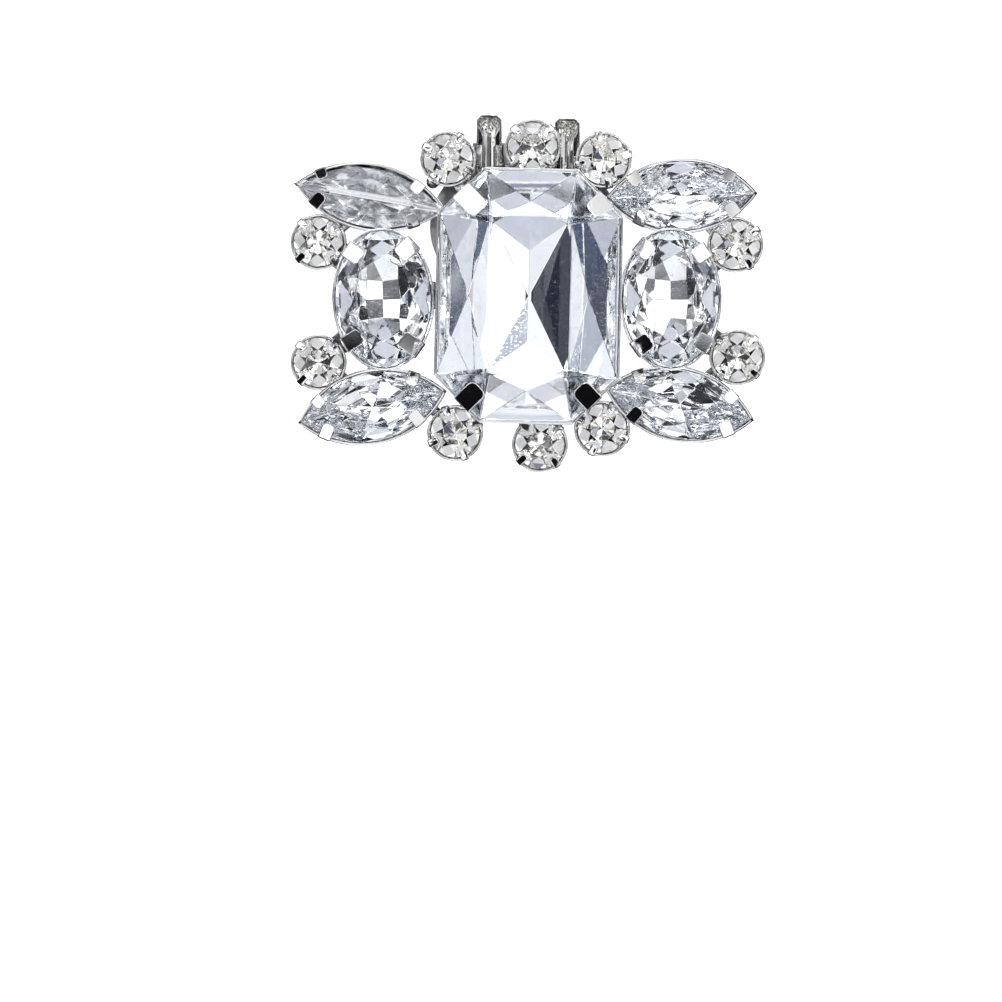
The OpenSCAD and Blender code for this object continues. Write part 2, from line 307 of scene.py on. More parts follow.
@dataclass(frozen=True)
class PlatedMetal:
    """Bright plated metal, darker and rougher low down between the cups, where the darkening is painted
    shade, with a few random spots of real tarnish.
    """

    name: str
    bright: Colour
    dark: Colour
    # low_mm and high_mm: the heights over which the painted shade fades out going up.
    low_mm: float
    high_mm: float
    dull: float
    pit_depth_mm: float
    spot_share: float = 0.35
    most_tarnish_and_shade: float = 0.9
    tarnish_and_shade_rough: float = 0.3
    grain_rough: float = 0.06
    grain_pits: float = 0.4
    blotch_pits: float = 0.3

    def material(self) -> bpy.types.Material:
        """Makes the metal's material.

        Returns:
            The material.
        """
        material, s = new_shader(self.name)
        height = s.node("ShaderNodeSeparateXYZ", inputs={0: s.place()}, output=2)
        # Painted shade: deep is 1 low down between the cups and 0 higher up, set by height alone.
        deep = 1.0 - height.step(self.low_mm * MM, self.high_mm * MM)
        blotch = s.noise(size_mm=0.6, detail=4.0)
        grain = s.noise(size_mm=0.15, detail=3.0)
        # Painted shade low down, broken up by blotches; spots adds random real tarnish anywhere.
        low = deep * blotch.step(low=0.3, high=0.62)
        spots = blotch.step(low=0.68, high=0.8) * self.spot_share
        tarnish_and_shade = (low + spots) * self.most_tarnish_and_shade
        s.finish(
            Base_Color=s.mix(tarnish_and_shade, self.bright, self.dark),
            Metallic=1.0,
            Roughness=self.dull + tarnish_and_shade * self.tarnish_and_shade_rough + grain * self.grain_rough,
            Normal=s.bump(
                grain * self.grain_pits + blotch * (self.blotch_pits + deep), self.pit_depth_mm
            ),
        )
        return material


@dataclass(frozen=True)
class ClipMetal:
    """Dull plated strip, with the fine lines of rolling along it and dark blotches."""

    name: str
    pale: Colour
    dark: Colour
    blotch_share: float = 0.6
    line_share: float = 0.4
    dull: float = 0.3
    blotch_rough: float = 0.15
    line_rough: float = 0.1
    blotch_height: float = 0.5
    depth_mm: float = 0.03

    def material(self) -> bpy.types.Material:
        """Makes the strip's material.

        Returns:
            The material.
        """
        material, s = new_shader(self.name)
        lines = s.noise(size_mm=1.0, detail=3.0, stretch=(9.0, 0.6, 1.0))
        blotch = s.noise(size_mm=1.6, detail=4.0).step(low=0.4, high=0.7)
        s.finish(
            Base_Color=s.mix(blotch * self.blotch_share + lines * self.line_share, self.pale, self.dark),
            Metallic=1.0,
            Roughness=self.dull + blotch * self.blotch_rough + lines * self.line_rough,
            Normal=s.bump(lines + blotch * self.blotch_height, self.depth_mm),
        )
        return material


@dataclass(frozen=True)
class PaleFloor:
    """Matt white table top, lit a little from below as a light table is."""

    name: str
    white: Colour
    shade: Colour
    glow: float
    cloud_mm: float = 60.0
    matt: float = 0.9

    def material(self) -> bpy.types.Material:
        """Makes the floor's material.

        Returns:
            The material.
        """
        material, s = new_shader(self.name)
        cloud = s.mix(s.noise(self.cloud_mm), self.white, self.shade)
        s.finish(
            Base_Color=cloud, Roughness=self.matt, Emission_Color=cloud, Emission_Strength=self.glow
        )
        return material


# Hand tools


class Pick(Enum):
    """What is picked in edit mode."""

    VERTS = (True, False, False)
    EDGES = (False, True, False)
    FACES = (False, False, True)


class Bench:
    """The tools that every new piece is made with."""

    NEAR = 1e-6

    @staticmethod
    def clear() -> None:
        """Leaves edit mode and deselects everything."""
        if bpy.context.mode != "OBJECT":
            bpy.ops.object.mode_set(mode="OBJECT")
        bpy.ops.object.select_all(action="DESELECT")

    @staticmethod
    def take(piece: Piece) -> None:
        """Selects one piece alone and makes it active.

        Args:
            piece: the object.
        """
        Bench.clear()
        bpy.context.view_layer.objects.active = piece
        piece.select_set(True)

    @staticmethod
    def start(add: Callable, name: str, **settings: object) -> Piece:
        """Adds a primitive and enters edit mode with all of it selected.

        Args:
            add: the operator that adds it.
            name: its name.
            settings: the operator's settings.

        Returns:
            The new object.
        """
        Bench.clear()
        add(**settings)
        made = bpy.context.object
        made.name = name
        made.data.name = name
        bpy.ops.object.mode_set(mode="EDIT")
        bpy.ops.mesh.select_all(action="SELECT")
        return made

    @staticmethod
    def pick(kind: Pick, test: Callable[[object], bool]) -> None:
        """Selects the parts of the open mesh that pass a test.

        Args:
            kind: vertices, edges or faces.
            test: tells from the part whether it is wanted.
        """
        bpy.ops.mesh.select_all(action="DESELECT")
        bpy.context.tool_settings.mesh_select_mode = kind.value
        mesh = bmesh.from_edit_mesh(bpy.context.edit_object.data)
        parts = {Pick.VERTS: mesh.verts, Pick.EDGES: mesh.edges, Pick.FACES: mesh.faces}[kind]
        for part in parts:
            if test(part):
                part.select_set(True)
        mesh.select_flush_mode()
        bmesh.update_edit_mesh(bpy.context.edit_object.data)

    @staticmethod
    def level(z: float) -> Callable[[object], bool]:
        """A test for edges and faces that lie flat at the height z."""
        return lambda part: all(abs(v.co.z - z) < Bench.NEAR for v in part.verts)

    @staticmethod
    def move(x: float, y: float, z: float) -> None:
        """Moves what is selected."""
        bpy.ops.transform.translate(value=(x, y, z))

    @staticmethod
    def size(x: float, y: float, z: float = 1.0) -> None:
        """Scales what is selected about the origin."""
        bpy.ops.transform.resize(value=(x, y, z), center_override=(0.0, 0.0, 0.0))

    @staticmethod
    def pull(x: float, y: float, z: float) -> None:
        """Extrudes what is selected along a vector."""
        bpy.ops.mesh.extrude_region_move(TRANSFORM_OT_translate={"value": (x, y, z)})

    @staticmethod
    def round_off(width: float, segments: int, parts: str = "EDGES") -> None:
        """Bevels what is selected."""
        bpy.ops.mesh.bevel(offset=width, segments=segments, affect=parts, clamp_overlap=True)

    @staticmethod
    def modify(piece: Piece, kind: str, keep: bool = False, **settings: object) -> None:
        """Adds a modifier.

        Args:
            piece: the object.
            kind: the modifier's type.
            keep: leaves it live, as on a CAD node.
            settings: its settings.
        """
        made = piece.modifiers.new(kind.title(), kind)
        for key, value in settings.items():
            setattr(made, key, value)
        if not keep:
            Bench.take(piece)
            bpy.ops.object.modifier_apply(modifier=made.name)

    @staticmethod
    def soften(
        piece: Piece, width_mm: float, angle: float, segments: int = 1, keep: bool = False
    ) -> None:
        """Rounds all the sharp edges of a piece.

        Args:
            piece: the object.
            width_mm: how far the edges are rounded, in millimetres.
            angle: the angle in degrees above which an edge is sharp.
            segments: how many faces the rounding has.
            keep: leaves the modifier live, as on a CAD node.
        """
        Bench.modify(
            piece,
            "BEVEL",
            keep,
            width=width_mm * MM,
            segments=segments,
            limit_method="ANGLE",
            angle_limit=math.radians(angle),
        )

    @staticmethod
    def settle(piece: Piece, x: float, y: float, z: float, turn: float) -> None:
        """Puts a piece in its place and takes the place into its mesh.

        Args:
            piece: the object.
            x: place along X.
            y: place along Y.
            z: height.
            turn: turn about Z, in degrees.
        """
        Bench.take(piece)
        piece.location = (x, y, z)
        piece.rotation_euler = (0.0, 0.0, math.radians(turn))
        bpy.ops.object.transform_apply(location=True, rotation=True, scale=True)

    @staticmethod
    def join(pieces: list[Piece], name: str) -> Piece:
        """Joins pieces into one.

        Args:
            pieces: the objects.
            name: the name of the whole.

        Returns:
            The joined object.
        """
        Bench.clear()
        for piece in pieces:
            piece.select_set(True)
        bpy.context.view_layer.objects.active = pieces[0]
        bpy.ops.object.join()
        whole = bpy.context.object
        whole.name = name
        whole.data.name = name
        return whole

    @staticmethod
    def dress(piece: Piece, material: bpy.types.Material, smooth: float | None) -> None:
        """Gives a piece its material and its shading.

        Args:
            piece: the object.
            material: its material.
            smooth: the angle in degrees under which edges look smooth, or None for flat facets.
        """
        piece.data.materials.clear()
        piece.data.materials.append(material)
        if smooth is None:
            piece.data.polygons.foreach_set("use_smooth", [False] * len(piece.data.polygons))
            return
        Bench.take(piece)
        bpy.ops.object.shade_smooth_by_angle(angle=math.radians(smooth))
        if not piece.modifiers:
            Bench.modify(piece, "WEIGHTED_NORMAL", keep_sharp=True)


def hand_over(piece: Piece, slot: str, *stands_for: str) -> None:
    """Puts a finished piece on the object's body and reports it.

    Args:
        piece: the object.
        slot: the record's material slot; not used.
        stands_for: the CAD nodes that it stands for.
    """
    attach(piece, BODY)
    if stands_for:
        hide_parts(*stands_for)
    LOG.info("%s: %d faces", piece.name, len(piece.data.polygons))


# Stones


class Cut(Enum):
    """The outline of a stone."""

    OCTAGON = "octagon"
    OVAL = "oval"
    NAVETTE = "navette"
    ROUND = "round"
    BAGUETTE = "baguette"


# Heights and thicknesses of the cups, in millimetres
BASE_Z = 4.05
WALL = 0.32
THIN_WALL = 0.2
STONE_GAP = 0.06
RIM_GAP = 0.04
FLOOR_Z = BASE_Z + WALL


@dataclass(frozen=True)
class StoneCut:
    """Sizes that the stones of one cut share, in millimetres."""

    cut: Cut
    half_x: float
    half_y: float
    girdle: float
    seat: float
    low_share: float
    claw_slope: float
    corner: float = 0.0
    wall: float = WALL
    tip_round: float = 0.45
    edge_round: float = 0.04


OCTAGON = StoneCut(
    Cut.OCTAGON, half_x=9.0, half_y=12.5, corner=4.5, girdle=0.6, seat=BASE_Z + 5.3,
    low_share=0.55, claw_slope=0.435, tip_round=0.7, edge_round=0.11,
)
OVAL = StoneCut(
    Cut.OVAL, half_x=4.8, half_y=6.85, girdle=0.6, seat=BASE_Z + 4.15,
    low_share=0.5, claw_slope=0.9, edge_round=0.06,
)
NAVETTE = StoneCut(
    Cut.NAVETTE, half_x=7.2, half_y=3.45, girdle=0.35, seat=BASE_Z + 3.4,
    low_share=0.45, claw_slope=1.0, edge_round=0.05,
)
SLIPPED = replace(NAVETTE, half_y=3.1)
ROUND = StoneCut(
    Cut.ROUND, half_x=2.5, half_y=2.5, girdle=0.35, seat=BASE_Z + 2.55,
    low_share=0.5, claw_slope=0.8, tip_round=0.28,
)
BAGUETTE = StoneCut(
    Cut.BAGUETTE, half_x=1.025, half_y=3.5, corner=0.3, girdle=0.2, seat=BASE_Z + 1.3,
    low_share=1.0, claw_slope=0.8, wall=THIN_WALL, tip_round=0.1,
)


@dataclass(frozen=True)
class Claw:
    """One claw of a cup: where it stands on the outline, its width, reach and lift.

    The place is a corner's number on the octagon, an angle in degrees on an oval or round, and else
    a distance along the stone. The side is a distance from the corner's middle on the octagon, and
    else 1 or -1. Widths, reaches, lifts and distances are in millimetres.
    """

    place: float
    side: float
    width: float
    reach: float
    lift: float = 0.0


SLIPPED_LIFT = 0.25
ROUND_CLAWS = tuple(Claw(place, 1.0, 0.8, 0.65) for place in (0.0, 90.0, 180.0, 270.0))


@dataclass(frozen=True)
class Stone:
    """A stone in its cup: its CAD node, its place in millimetres, its turn and its claws."""

    node: str
    shape: StoneCut
    x: float
    y: float
    turn: float
    claws: tuple[Claw, ...]


STONES = (
    Stone("octagon_stone", OCTAGON, 0.0, 0.0, -1.4, (
        Claw(0, -0.79, 2.0, 1.8), Claw(1, 0.1, 2.2, 2.6), Claw(2, 0.76, 2.1, 2.2), Claw(3, -0.2, 2.1, 2.0),
    )),
    Stone("oval_stone_left", OVAL, -14.56, -0.31, 2.0, (
        Claw(51, 1, 1.8, 1.7), Claw(133, 1, 1.7, 1.5), Claw(219, 1, 1.7, 1.6), Claw(312, 1, 1.8, 1.9),
    )),
    Stone("oval_stone_right", OVAL, 14.24, -0.31, 0.0, (
        Claw(45, 1, 1.7, 1.3), Claw(129, 1, 1.8, 1.4), Claw(226, 1, 1.8, 1.5), Claw(318, 1, 1.8, 1.2),
    )),
    Stone("navette_stone_upper_left", SLIPPED, -15.86, 9.97, -10.0, (
        Claw(4.6, 1, 1.3, 0.9, SLIPPED_LIFT), Claw(-5.3, 1, 1.2, 0.7, SLIPPED_LIFT),
        Claw(-5.3, -1, 1.3, 1.1, SLIPPED_LIFT), Claw(4.7, -1, 1.3, 1.0, SLIPPED_LIFT),
    )),
    Stone("navette_stone_upper_right", NAVETTE, 15.34, 10.06, 2.0, (
        Claw(4.9, 1, 1.2, 0.9), Claw(-4.8, 1, 1.3, 1.0), Claw(-4.3, -1, 1.3, 1.3), Claw(5.2, -1, 1.3, 1.1),
    )),
    Stone("navette_stone_lower_left", NAVETTE, -15.66, -11.08, 12.0, (
        Claw(4.7, 1, 1.3, 1.0), Claw(-5.3, 1, 1.2, 0.8), Claw(-5.2, -1, 1.3, 1.2), Claw(4.3, -1, 1.3, 1.2),
    )),
    Stone("navette_stone_lower_right", NAVETTE, 15.14, -10.83, -12.0, (
        Claw(5.0, 1, 1.3, 0.9), Claw(-4.7, 1, 1.3, 0.9), Claw(-4.4, -1, 1.3, 1.2), Claw(5.3, -1, 1.3, 1.2),
    )),
    Stone("round_stone_top_left", ROUND, -8.06, 13.79, 62.0, ROUND_CLAWS),
    Stone("round_stone_top_middle", ROUND, 0.42, 14.99, 45.0, ROUND_CLAWS),
    Stone("round_stone_top_right", ROUND, 7.54, 13.69, 12.0, ROUND_CLAWS),
    Stone("round_stone_upper_left", ROUND, -21.06, 5.45, 41.0, ROUND_CLAWS),
    Stone("round_stone_upper_right", ROUND, 20.75, 5.18, 34.0, ROUND_CLAWS),
    Stone("round_stone_lower_left", ROUND, -21.06, -6.61, 48.0, ROUND_CLAWS),
    Stone("round_stone_lower_right", ROUND, 20.94, -6.11, 47.0, ROUND_CLAWS),
    Stone("round_stone_bottom_left", ROUND, -7.36, -13.71, 22.0, ROUND_CLAWS),
    Stone("round_stone_bottom_middle", ROUND, 1.14, -14.85, 40.0, ROUND_CLAWS),
    Stone("round_stone_bottom_right", ROUND, 7.38, -13.27, 66.0, ROUND_CLAWS),
    Stone("baguette_stone_left", BAGUETTE, -3.95, 14.5, 0.0, (
        Claw(-0.4, 1, 2.2, 0.3), Claw(-0.4, -1, 2.2, 0.3),
    )),
    Stone("baguette_stone_right", BAGUETTE, 3.85, 14.15, -1.0, (Claw(-0.8, 1, 1.5, 0.3),)),
)


@dataclass
class CutStones:
    """The cut stones: their CAD solids in clear material, each on its own mirror foil."""

    acrylic: ClearStone
    glass: ClearStone
    foil: MirrorFoil
    spark_foil: MirrorFoil
    foil_round: float = 0.03
    foil_inset: float = 0.02
    foil_thickness: float = 0.02
    foil_normal: float = -0.05
    flat_angle: float = 0.5
    facet_angle: float = 3.0
    edge_segments: int = 2
    weld: float = 0.0005

    def build(self) -> None:
        """Dresses every stone and lays its foil."""
        clear = {True: self.acrylic.material(), False: self.glass.material()}
        foils = {True: self.foil.material(), False: self.spark_foil.material()}
        for stone in STONES:
            large = stone.shape.cut not in (Cut.ROUND, Cut.BAGUETTE)
            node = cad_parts[stone.node]
            self._lay_foil(stone, node, foils[large])
            self._dress(node, clear[large], stone.shape.edge_round)

    def _dress(self, node: Piece, material: bpy.types.Material, edge_round: float) -> None:
        """Gives a stone its material and takes the sharpness off its edges.

        Args:
            node: the stone's CAD object.
            material: its material.
            edge_round: how far its edges are rounded, in millimetres.
        """
        Bench.modify(node, "WELD", keep=True, merge_threshold=self.weld * MM)
        Bench.modify(
            node, "DECIMATE", keep=True, decimate_type="DISSOLVE", angle_limit=math.radians(self.flat_angle)
        )
        Bench.soften(node, edge_round, self.facet_angle, self.edge_segments, keep=True)
        Bench.dress(node, material, None)
        LOG.info("%s: dressed", node.name)

    def _lay_foil(self, stone: Stone, node: Piece, material: bpy.types.Material) -> None:
        """Makes the foil just inside the lower faces of a stone.

        Args:
            stone: the stone.
            node: its CAD object.
            material: the foil's material.
        """
        name = stone.node.replace("_stone", "_foil")
        foil = bpy.data.objects.new(name, node.data.copy())
        bpy.context.scene.collection.objects.link(foil)
        foil.data.name = name
        Bench.take(foil)
        bpy.ops.object.mode_set(mode="EDIT")
        bpy.ops.mesh.select_all(action="SELECT")
        bpy.ops.mesh.remove_doubles(threshold=self.weld * MM)
        bpy.ops.mesh.dissolve_limited(angle_limit=math.radians(self.flat_angle))
        Bench.pick(Pick.FACES, lambda face: face.normal.z > self.foil_normal)
        bpy.ops.mesh.delete(type="FACE")
        Bench.clear()
        Bench.soften(foil, self.foil_round, self.facet_angle)
        Bench.modify(foil, "DISPLACE", strength=-self.foil_inset * MM, mid_level=0.0)
        Bench.modify(foil, "SOLIDIFY", thickness=self.foil_thickness * MM, offset=-1.0)
        Bench.dress(foil, material, None)
        hand_over(foil, FOIL_SLOT)


# Settings


@dataclass
class ClawCup:
    """The cup of one stone with its claws, in the stone's own frame."""

    stone: Stone
    corners: int = 64
    navette_corners: int = 200
    rim_round: float = 0.14
    base_round: float = 0.12
    claw_off: float = 0.02
    claw_out: float = 0.05
    leg: float = 0.73
    claw_t: float = 0.3
    elbow_round: float = 0.22
    claw_round: float = 0.11
    rim_segments: int = 3
    base_segments: int = 2
    elbow_segments: int = 4
    claw_segments: int = 3
    rim_share: float = 0.45
    tip_width_share: float = 0.35
    tip_reach_share: float = 0.6
    sharp_angle: float = 40.0
    line_angle: float = 0.05
    flat: float = 0.7

    def build(self) -> Piece:
        """Makes the cup and its claws.

        Returns:
            The two as one piece, in its place.
        """
        stone = self.stone
        parts = [self._cup()]
        parts += [self._claw(claw) for claw in stone.claws]
        whole = Bench.join(parts, stone.node.replace("_stone", "_setting"))
        Bench.settle(whole, stone.x * MM, stone.y * MM, 0.0, stone.turn)
        return whole

    def _face(self, grow: float, z: float) -> Piece:
        """Makes the stone's outline as one flat face, and leaves it selected in edit mode.

        Args:
            grow: how far it is grown outward, in millimetres.
            z: its height, in millimetres.

        Returns:
            The object.
        """
        shape = self.stone.shape
        half_x = (shape.half_x + grow) * MM
        half_y = (shape.half_y + grow) * MM
        if shape.cut in (Cut.OCTAGON, Cut.BAGUETTE):
            made = Bench.start(bpy.ops.mesh.primitive_plane_add, "cup", size=2.0)
            Bench.size(half_x, half_y)
            corner = (shape.corner + grow * (2.0 - math.sqrt(2.0))) * MM
            Bench.round_off(corner, 1, "VERTICES")
        elif shape.cut is Cut.NAVETTE:
            made = self._navette_face(grow)
        else:
            made = Bench.start(
                bpy.ops.mesh.primitive_circle_add,
                "cup", vertices=self.corners, radius=1.0, fill_type="NGON",
            )
            Bench.size(half_x, half_y)
        bpy.ops.mesh.select_all(action="SELECT")
        Bench.move(0.0, 0.0, z * MM)
        return made

    def _navette_face(self, grow: float) -> Piece:
        """Cuts a pointed oval from two discs.

        Args:
            grow: how far it is grown outward, in millimetres.

        Returns:
            The object, in edit mode.
        """
        shape = self.stone.shape
        arc = (shape.half_x**2 + shape.half_y**2) / (2.0 * shape.half_y)
        drop = (arc - shape.half_y) * MM
        made = Bench.start(
            bpy.ops.mesh.primitive_circle_add,
            "cup",
            vertices=self.navette_corners,
            radius=arc * MM + grow * MM,
            fill_type="NGON",
        )
        Bench.move(0.0, -drop, 0.0)
        bpy.ops.mesh.bisect(plane_co=(0.0, 0.0, 0.0), plane_no=(0.0, 1.0, 0.0), clear_inner=True)
        bpy.ops.mesh.select_all(action="SELECT")
        bpy.ops.mesh.duplicate()
        Bench.size(-1.0, -1.0)
        bpy.ops.mesh.select_all(action="SELECT")
        bpy.ops.mesh.remove_doubles(threshold=Bench.NEAR)
        bpy.ops.mesh.dissolve_limited(
            angle_limit=math.radians(self.line_angle), use_dissolve_boundaries=False
        )
        bpy.ops.mesh.select_all(action="SELECT")
        bpy.ops.mesh.normals_make_consistent(inside=False)
        return made

    def _taper(self, grow: float) -> tuple[float, float]:
        """How much smaller the cup is at its bottom than at its rim.

        Args:
            grow: how far the outline is grown outward, in millimetres.

        Returns:
            The scale along X and along Y.
        """
        shape = self.stone.shape
        return (
            (shape.half_x * shape.low_share + grow) / (shape.half_x + grow),
            (shape.half_y * shape.low_share + grow) / (shape.half_y + grow),
        )

    def _cup(self) -> Piece:
        """Makes the tapered cup, open at the top.

        Returns:
            The cup.
        """
        shape = self.stone.shape
        rim = shape.seat - RIM_GAP
        outer = STONE_GAP + shape.wall
        made = self._face(outer, rim)
        Bench.pull(0.0, 0.0, (BASE_Z - rim) * MM)
        Bench.size(*self._taper(outer))
        Bench.pick(Pick.FACES, Bench.level(rim * MM))
        bpy.ops.mesh.inset(thickness=shape.wall * MM, use_even_offset=True)
        Bench.pull(0.0, 0.0, (FLOOR_Z - rim) * MM)
        Bench.size(*self._taper(STONE_GAP))
        Bench.pick(
            Pick.EDGES,
            lambda edge: Bench.level(rim * MM)(edge)
            and any(face.normal.z < self.flat for face in edge.link_faces),
        )
        Bench.round_off(min(self.rim_round, shape.wall * self.rim_share) * MM, self.rim_segments)
        Bench.pick(
            Pick.EDGES,
            lambda edge: Bench.level(BASE_Z * MM)(edge)
            and any(face.normal.z > -self.flat for face in edge.link_faces),
        )
        Bench.round_off(self.base_round * MM, self.base_segments)
        Bench.clear()
        return made

    def _spot(self, claw: Claw) -> Triple:
        """Where a claw stands and which way it faces.

        Args:
            claw: the claw.

        Returns:
            Its place along X and Y in millimetres, and its angle in degrees.
        """
        shape = self.stone.shape
        place = claw.place
        side = claw.side
        if shape.cut is Cut.OCTAGON:
            angle = 45.0 + 90.0 * place
            a = math.radians(angle)
            half = shape.corner / 2.0
            x = math.copysign(shape.half_x - half, math.cos(a)) - side * math.sin(a)
            y = math.copysign(shape.half_y - half, math.sin(a)) + side * math.cos(a)
            return x, y, angle
        if shape.cut is Cut.NAVETTE:
            r = (shape.half_x**2 + shape.half_y**2) / (2.0 * shape.half_y)
            y = math.sqrt(r * r - place * place)
            return place, side * (y - r + shape.half_y), math.degrees(math.atan2(side * y, place))
        if shape.cut is Cut.BAGUETTE:
            return side * shape.half_x, place, 0.0 if side > 0 else 180.0
        a = math.radians(place)
        angle = math.atan2(math.sin(a) / shape.half_y, math.cos(a) / shape.half_x)
        return shape.half_x * math.cos(a), shape.half_y * math.sin(a), math.degrees(angle)

    def _claw(self, claw: Claw) -> Piece:
        """Makes one claw: a leg outside the girdle, bent over the crown, with a rounded tip.

        Args:
            claw: the claw.

        Returns:
            The claw, in its place in the stone's frame.
        """
        shape = self.stone.shape
        inner = (STONE_GAP + self.claw_off) * MM
        outer = (STONE_GAP + WALL + self.claw_out) * MM
        top = (shape.girdle + STONE_GAP + self.claw_off + claw.lift) * MM
        thick = self.claw_t * MM
        reach = claw.reach * MM
        lift = shape.claw_slope * (reach + inner)
        foot = -self.leg * MM
        made = Bench.start(bpy.ops.mesh.primitive_cube_add, "claw", size=1.0)
        Bench.size(outer - inner, claw.width * MM, top - foot)
        Bench.move((inner + outer) / 2.0, 0.0, (top + foot) / 2.0)
        Bench.pick(Pick.VERTS, lambda v: v.co.z > top - Bench.NEAR and v.co.x > inner + Bench.NEAR)
        Bench.move(0.0, 0.0, thick / 2.0)
        Bench.pick(Pick.FACES, lambda face: face.normal.z > self.flat)
        Bench.pull(-reach - inner, 0.0, lift)
        Bench.pick(Pick.VERTS, lambda v: v.co.x > -reach + Bench.NEAR and v.co.z > top + lift)
        Bench.move(inner - outer, 0.0, thick / 2.0)
        Bench.pick(Pick.EDGES, lambda e: all(v.co.x > outer - Bench.NEAR and v.co.z > top for v in e.verts))
        Bench.round_off(self.elbow_round * MM, self.elbow_segments)
        half = claw.width * MM / 2.0
        tip_round = min(
            shape.tip_round, claw.width * self.tip_width_share, claw.reach * self.tip_reach_share
        )
        Bench.pick(
            Pick.EDGES,
            lambda e: all(v.co.x < -reach + Bench.NEAR for v in e.verts)
            and abs(e.verts[0].co.y - e.verts[1].co.y) < Bench.NEAR
            and abs(abs(e.verts[0].co.y) - half) < Bench.NEAR,
        )
        Bench.round_off(tip_round * MM, self.elbow_segments)
        Bench.clear()
        Bench.soften(made, self.claw_round, self.sharp_angle, self.claw_segments)
        x, y, angle = self._spot(claw)
        Bench.settle(made, x * MM, y * MM, shape.seat * MM, angle)
        return made


@dataclass
class SolderWork:
    """The strips that join the cups from behind and the beads of solder between them.

    Each join is a pair of stones, by their numbers in STONES. Each bead is its place along X and Y,
    its radius and the height of its top, in millimetres.
    """

    strip_w: float = 1.8
    strip_inset: float = 0.04
    strip_round: float = 0.06
    strip_segments: int = 2
    bead_corners: int = 20
    bead_lumps: float = 0.07
    bead_round: float = 0.7
    bead_segments: int = 4
    joins: tuple[tuple[int, int], ...] = (
        (0, 1), (0, 2), (0, 7), (0, 8), (0, 9), (0, 14), (0, 15), (0, 16), (0, 17), (0, 18),
        (1, 3), (1, 5), (2, 4), (2, 6), (1, 10), (1, 12), (2, 11), (2, 13),
        (3, 10), (5, 12), (4, 11), (6, 13),
    )
    beads: tuple[tuple[float, float, float, float], ...] = (
        (-9.55, 1.0, 0.55, 6.6), (-9.55, -0.7, 0.6, 6.4), (9.15, 0.6, 0.55, 6.6), (9.15, -1.4, 0.6, 6.4),
        (-14.6, -7.25, 0.7, 5.9), (-15.7, 6.5, 0.6, 5.9), (13.6, 6.7, 0.6, 5.9), (14.2, -7.1, 0.6, 5.9),
        (-18.3, 4.8, 0.6, 5.8), (-18.4, -5.1, 0.6, 5.8), (17.9, 4.4, 0.6, 5.8), (18.1, -5.3, 0.6, 5.8),
        (-9.6, 11.5, 0.7, 5.9), (9.6, 11.6, 0.6, 5.9), (-9.3, -11.6, 0.6, 5.9), (9.6, -11.2, 0.6, 5.9),
        (-2.0, 13.0, 0.6, 5.8),
    )

    def build_strips(self) -> Piece:
        """Makes the strips, all as one piece."""
        return Bench.join([self._strip(STONES[a], STONES[b]) for a, b in self.joins], "joining_strips")

    def build_beads(self) -> Piece:
        """Makes the beads, all as one piece."""
        return Bench.join([self._bead(i, *bead) for i, bead in enumerate(self.beads)], "solder_beads")

    def _strip(self, start: Stone, end: Stone) -> Piece:
        """Makes the strip between two cups.

        Args:
            start: the first stone.
            end: the second stone.

        Returns:
            The strip.
        """
        way = Vector((end.x - start.x, end.y - start.y))
        thick = WALL - 2.0 * self.strip_inset
        made = Bench.start(bpy.ops.mesh.primitive_cube_add, "strip", size=1.0)
        Bench.size(way.length * MM, self.strip_w * MM, thick * MM)
        Bench.pick(Pick.EDGES, lambda e: abs(e.verts[0].co.x - e.verts[1].co.x) > Bench.NEAR)
        Bench.round_off(self.strip_round * MM, self.strip_segments)
        Bench.settle(
            made,
            (start.x + end.x) / 2.0 * MM,
            (start.y + end.y) / 2.0 * MM,
            (BASE_Z + WALL / 2.0) * MM,
            math.degrees(math.atan2(way.y, way.x)),
        )
        return made

    def _bead(self, seed: int, x: float, y: float, radius: float, top: float) -> Piece:
        """Makes a bead of solder.

        Args:
            seed: its number, which gives it its own lumps.
            x: place along X, in millimetres.
            y: place along Y, in millimetres.
            radius: its radius, in millimetres.
            top: the height of its top, in millimetres.

        Returns:
            The bead.
        """
        made = Bench.start(
            bpy.ops.mesh.primitive_cylinder_add,
            "bead",
            vertices=self.bead_corners,
            radius=(radius - self.bead_lumps) * MM,
            depth=(top - BASE_Z) * MM,
        )
        half = (top - BASE_Z) / 2.0 * MM
        Bench.pick(Pick.EDGES, Bench.level(half))
        Bench.round_off(radius * self.bead_round * MM, self.bead_segments)
        Bench.pick(Pick.EDGES, lambda e: abs(e.verts[0].co.z - e.verts[1].co.z) > half)
        bpy.ops.mesh.subdivide(number_cuts=self.bead_segments)
        Bench.pick(Pick.VERTS, lambda v: v.co.z > -half + Bench.NEAR)
        bpy.ops.transform.vertex_random(offset=self.bead_lumps * MM, seed=seed)
        Bench.settle(made, x * MM, y * MM, (BASE_Z + top) / 2.0 * MM, 0.0)
        return made


@dataclass
class SettingFrame:
    """All the soldered metal, which stands for one CAD node."""

    finish: PlatedMetal
    node: str = "setting_frame"
    smooth: float = 40.0

    def build(self) -> None:
        """Makes the cups, the strips and the beads."""
        material = self.finish.material()
        solder = SolderWork()
        pieces = [ClawCup(stone).build() for stone in STONES]
        pieces += [solder.build_strips(), solder.build_beads()]
        for piece in pieces:
            Bench.dress(piece, material, self.smooth)
            hand_over(piece, PLATE_SLOT, self.node)


